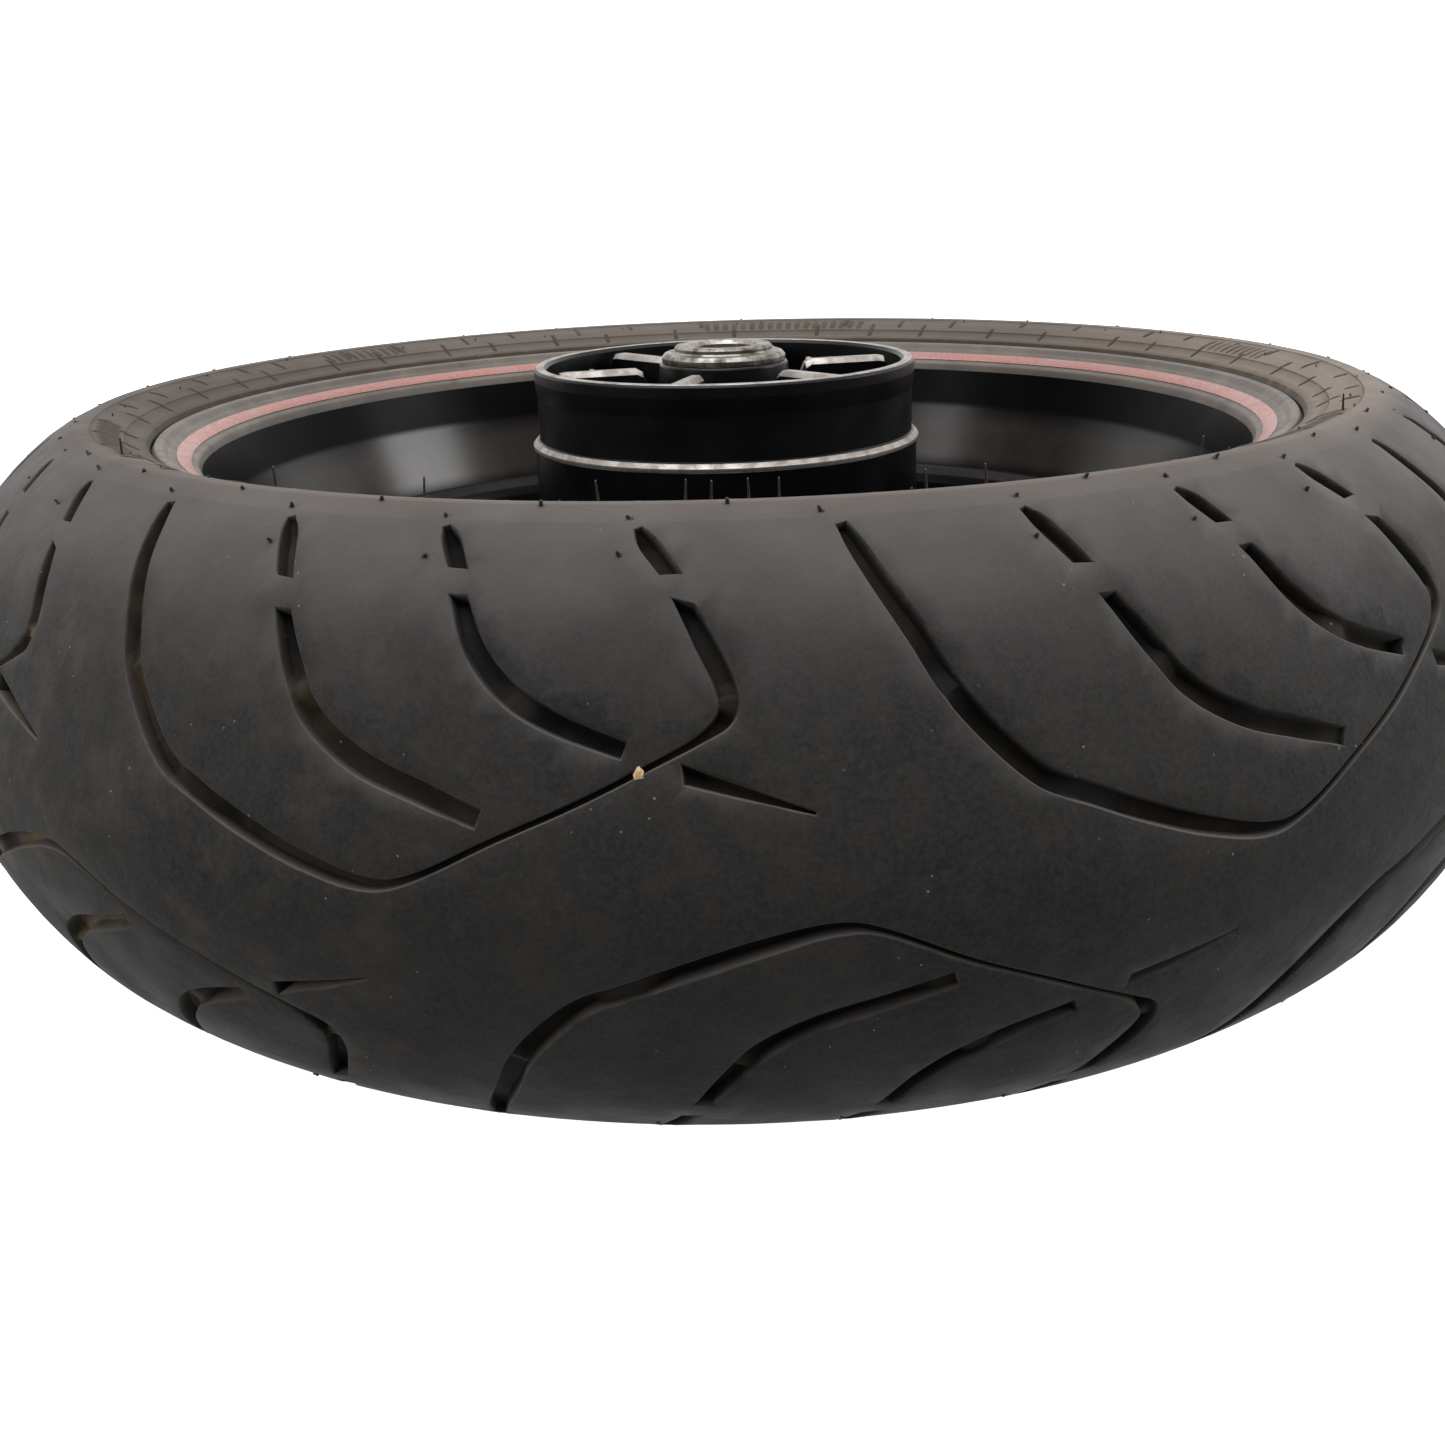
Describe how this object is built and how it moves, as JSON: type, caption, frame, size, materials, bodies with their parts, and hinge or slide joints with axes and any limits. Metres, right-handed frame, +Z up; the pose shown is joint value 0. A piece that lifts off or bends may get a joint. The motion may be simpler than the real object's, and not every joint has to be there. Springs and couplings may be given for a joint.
{
  "type": "motorcycle tire on wheel",
  "caption": "Worn low-profile rear motorcycle tyre fitted on a gloss black cast wheel with a red rim stripe and an open cushion-drive hub.",
  "frame": {"origin": "centre of the tyre's lower resting face on the floor, with the wheel lying flat on its brake side", "axes": "+Z up along the axle towards the sprocket side; the valve is on the -Y side"},
  "size_m": [0.64, 0.64, 0.2125],
  "materials": {
    "tread_rubber": "matte",
    "sidewall_rubber": "matte",
    "belt_cord": "rubber coated steel cord, matte",
    "bead_wire": "bronze coated, satin",
    "wheel_paint": "gloss black paint with bare machined edges",
    "stripe_tape": "gloss",
    "weight_metal": "matte grey",
    "bearing_steel": "polished",
    "seal_rubber": "matte",
    "turned_alloy": "satin turned",
    "spring_steel": "satin",
    "valve_alloy": "satin",
    "valve_brass": "satin",
    "cap_plastic": "matte"
  },
  "bodies": {
    "wheel": {"tyre_tread": "tread_rubber", "tyre_belt": "belt_cord", "tyre_casing": "sidewall_rubber", "bead_wire_upper": "bead_wire", "bead_wire_lower": "bead_wire", "wheel_casting": "wheel_paint", "rim_stripe_upper": "stripe_tape", "rim_stripe_lower": "stripe_tape", "balance_weights": "weight_metal", "bearing_upper_outer_race": "bearing_steel", "bearing_upper_shield_top": "seal_rubber", "bearing_upper_shield_bottom": "seal_rubber", "bearing_lower_outer_race": "bearing_steel", "bearing_lower_shield_top": "seal_rubber", "bearing_lower_shield_bottom": "seal_rubber", "dust_seal": "seal_rubber", "circlip": "spring_steel", "valve_stem": "valve_alloy", "valve_grommet": "seal_rubber", "valve_nut": "valve_alloy", "valve_core": "valve_brass"},
    "axle_stack": {"bearing_upper_inner_race": "bearing_steel", "bearing_lower_inner_race": "bearing_steel", "distance_tube": "turned_alloy", "collar_upper": "turned_alloy", "collar_lower": "turned_alloy"},
    "balls_upper": {"bearing_upper_balls": "bearing_steel"},
    "balls_lower": {"bearing_lower_balls": "bearing_steel"},
    "valve_pin": {"valve_core_pin": "valve_brass"},
    "valve_cap": {"valve_cap": "cap_plastic"}
  },
  "joints": [
    {"name": "axle_spin", "type": "hinge", "parent": "wheel", "child": "axle_stack", "pos_m": [0, 0, 0.0985], "axis": [0, 0, 1], "continuous": true},
    {"name": "cage_upper_spin", "type": "hinge", "parent": "wheel", "child": "balls_upper", "pos_m": [0, 0, 0.199], "axis": [0, 0, 1], "continuous": true},
    {"name": "cage_lower_spin", "type": "hinge", "parent": "wheel", "child": "balls_lower", "pos_m": [0, 0, 0.0328], "axis": [0, 0, 1], "continuous": true},
    {"name": "valve_press", "type": "slide", "parent": "wheel", "child": "valve_pin", "axis": [0, -1, 0], "range_m": [0, 0.0015], "stiffness_N_per_m": 400, "springref_m": -0.001},
    {"name": "cap_unscrew", "type": "slide", "parent": "wheel", "child": "valve_cap", "axis": [0, 1, 0], "range_m": [0, 0.012]}
  ],
  "couplings": [
    {"joint": "cage_upper_spin", "follows": "axle_spin", "ratio": 0.42},
    {"joint": "cage_lower_spin", "follows": "axle_spin", "ratio": 0.42}
  ]
}
